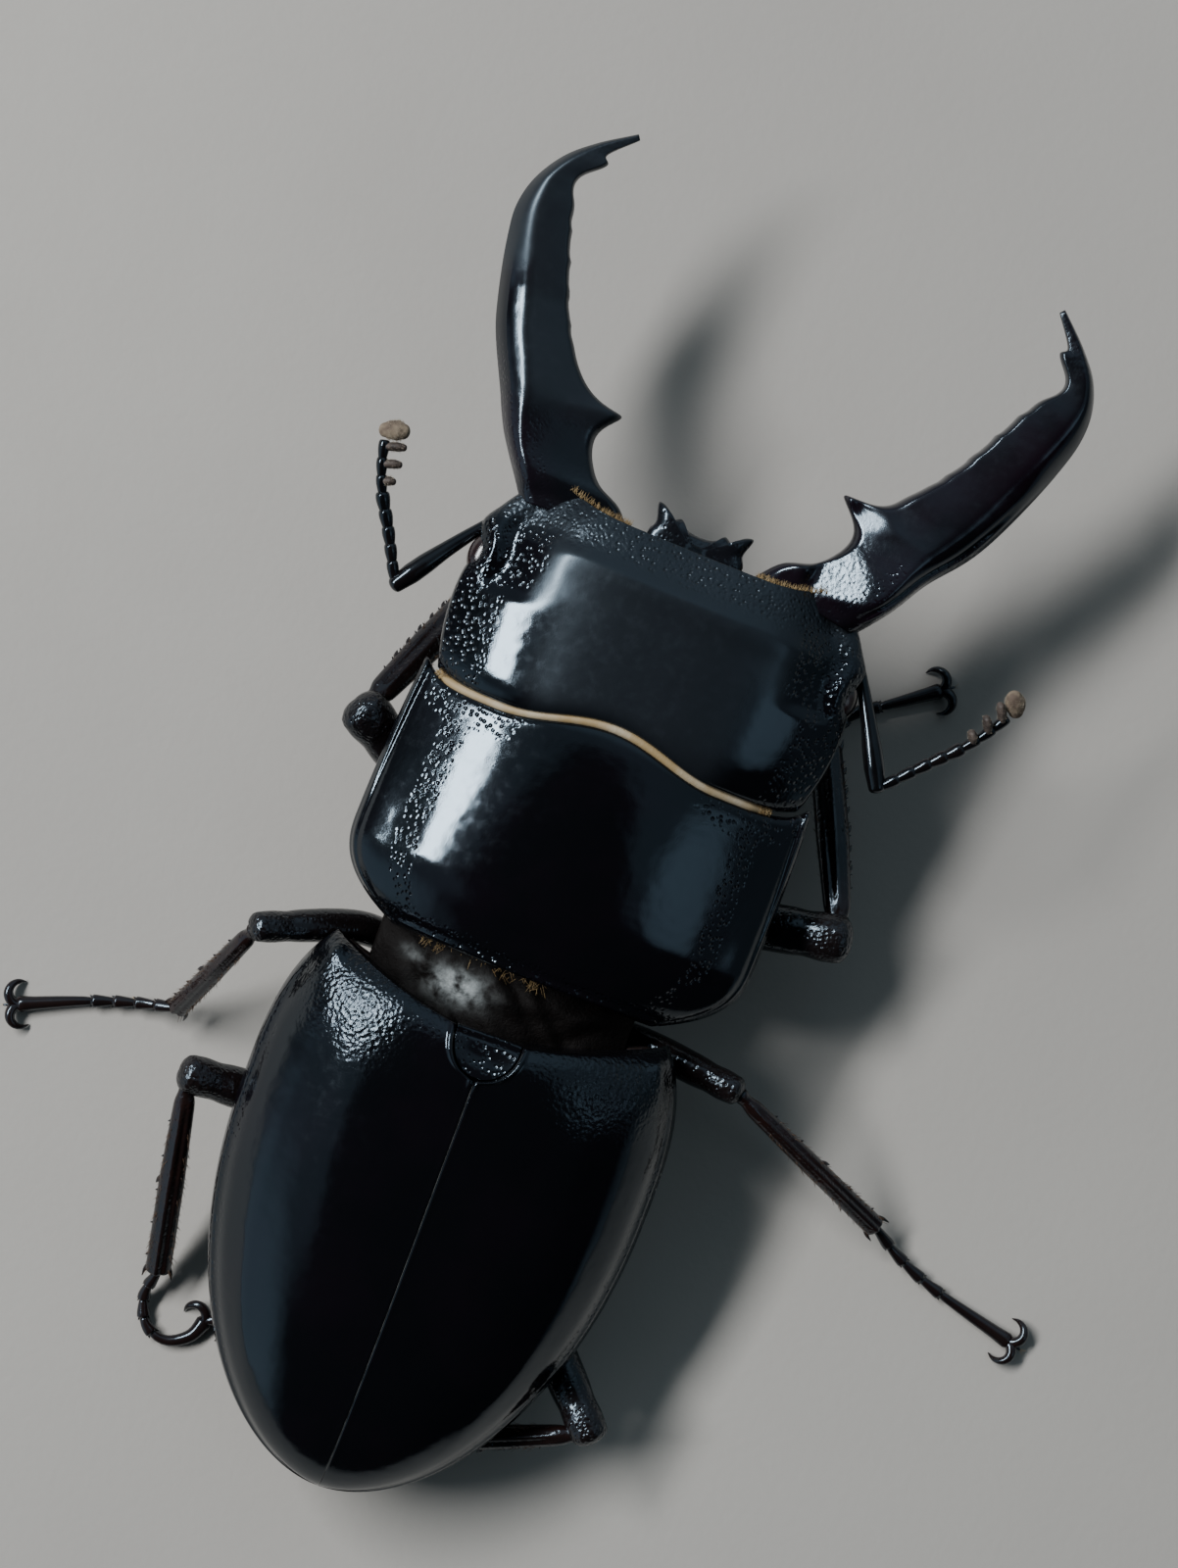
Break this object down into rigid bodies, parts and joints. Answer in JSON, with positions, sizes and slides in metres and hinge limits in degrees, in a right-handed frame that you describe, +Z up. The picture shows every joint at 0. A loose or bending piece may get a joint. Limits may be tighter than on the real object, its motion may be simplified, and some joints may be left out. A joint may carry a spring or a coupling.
{
  "type": "stag beetle",
  "caption": "Life-size male stag beetle with long toothed mandibles, glossy black wing cases and spread legs, standing still.",
  "frame": {"origin": "on the floor under the middle of the footprint, which is the box round the whole beetle", "axes": "+X to the beetle's right, +Y forward to the mandible tips, +Z up; the feet stand on z = 0"},
  "size_m": [0.0678, 0.0826, 0.0156],
  "materials": {
    "shell": "polished black chitin with a faint blue sheen",
    "belly": "satin brown-black chitin",
    "limb": "glossy black chitin, reddish brown on the shins",
    "eye": "smooth dark brown lens",
    "club": "fine grey-brown felt",
    "membrane": "dull grey-brown skin"
  },
  "bodies": {
    "root": {"elytron_left": "shell", "elytron_right": "shell", "scutellum": "shell", "pronotum": "shell", "head": "shell", "clypeus": "shell", "mandible_left": "shell", "mandible_right": "shell", "mesothorax": "membrane", "metasternum": "belly", "abdomen": "belly", "prosternum": "belly", "mentum": "belly", "leg_front_left_coxa": "belly", "leg_middle_left_coxa": "belly", "leg_hind_left_coxa": "belly", "leg_front_right_coxa": "belly", "leg_middle_right_coxa": "belly", "leg_hind_right_coxa": "belly", "eye_left": "eye", "eye_right": "eye", "antenna_left_scape": "limb", "antenna_left_funicle": "limb", "maxillary_palp_left": "limb", "labial_palp_left": "limb", "leg_front_left_femur": "limb", "leg_front_left_tibia": "limb", "leg_front_left_tarsus": "limb", "leg_middle_left_femur": "limb", "leg_middle_left_tibia": "limb", "leg_middle_left_tarsus": "limb", "leg_hind_left_femur": "limb", "leg_hind_left_tibia": "limb", "leg_hind_left_tarsus": "limb", "antenna_right_scape": "limb", "antenna_right_funicle": "limb", "maxillary_palp_right": "limb", "labial_palp_right": "limb", "leg_front_right_femur": "limb", "leg_front_right_tibia": "limb", "leg_front_right_tarsus": "limb", "leg_middle_right_femur": "limb", "leg_middle_right_tibia": "limb", "leg_middle_right_tarsus": "limb", "leg_hind_right_femur": "limb", "leg_hind_right_tibia": "limb", "leg_hind_right_tarsus": "limb", "antenna_left_club": "club", "antenna_right_club": "club"}
  },
  "joints": []
}
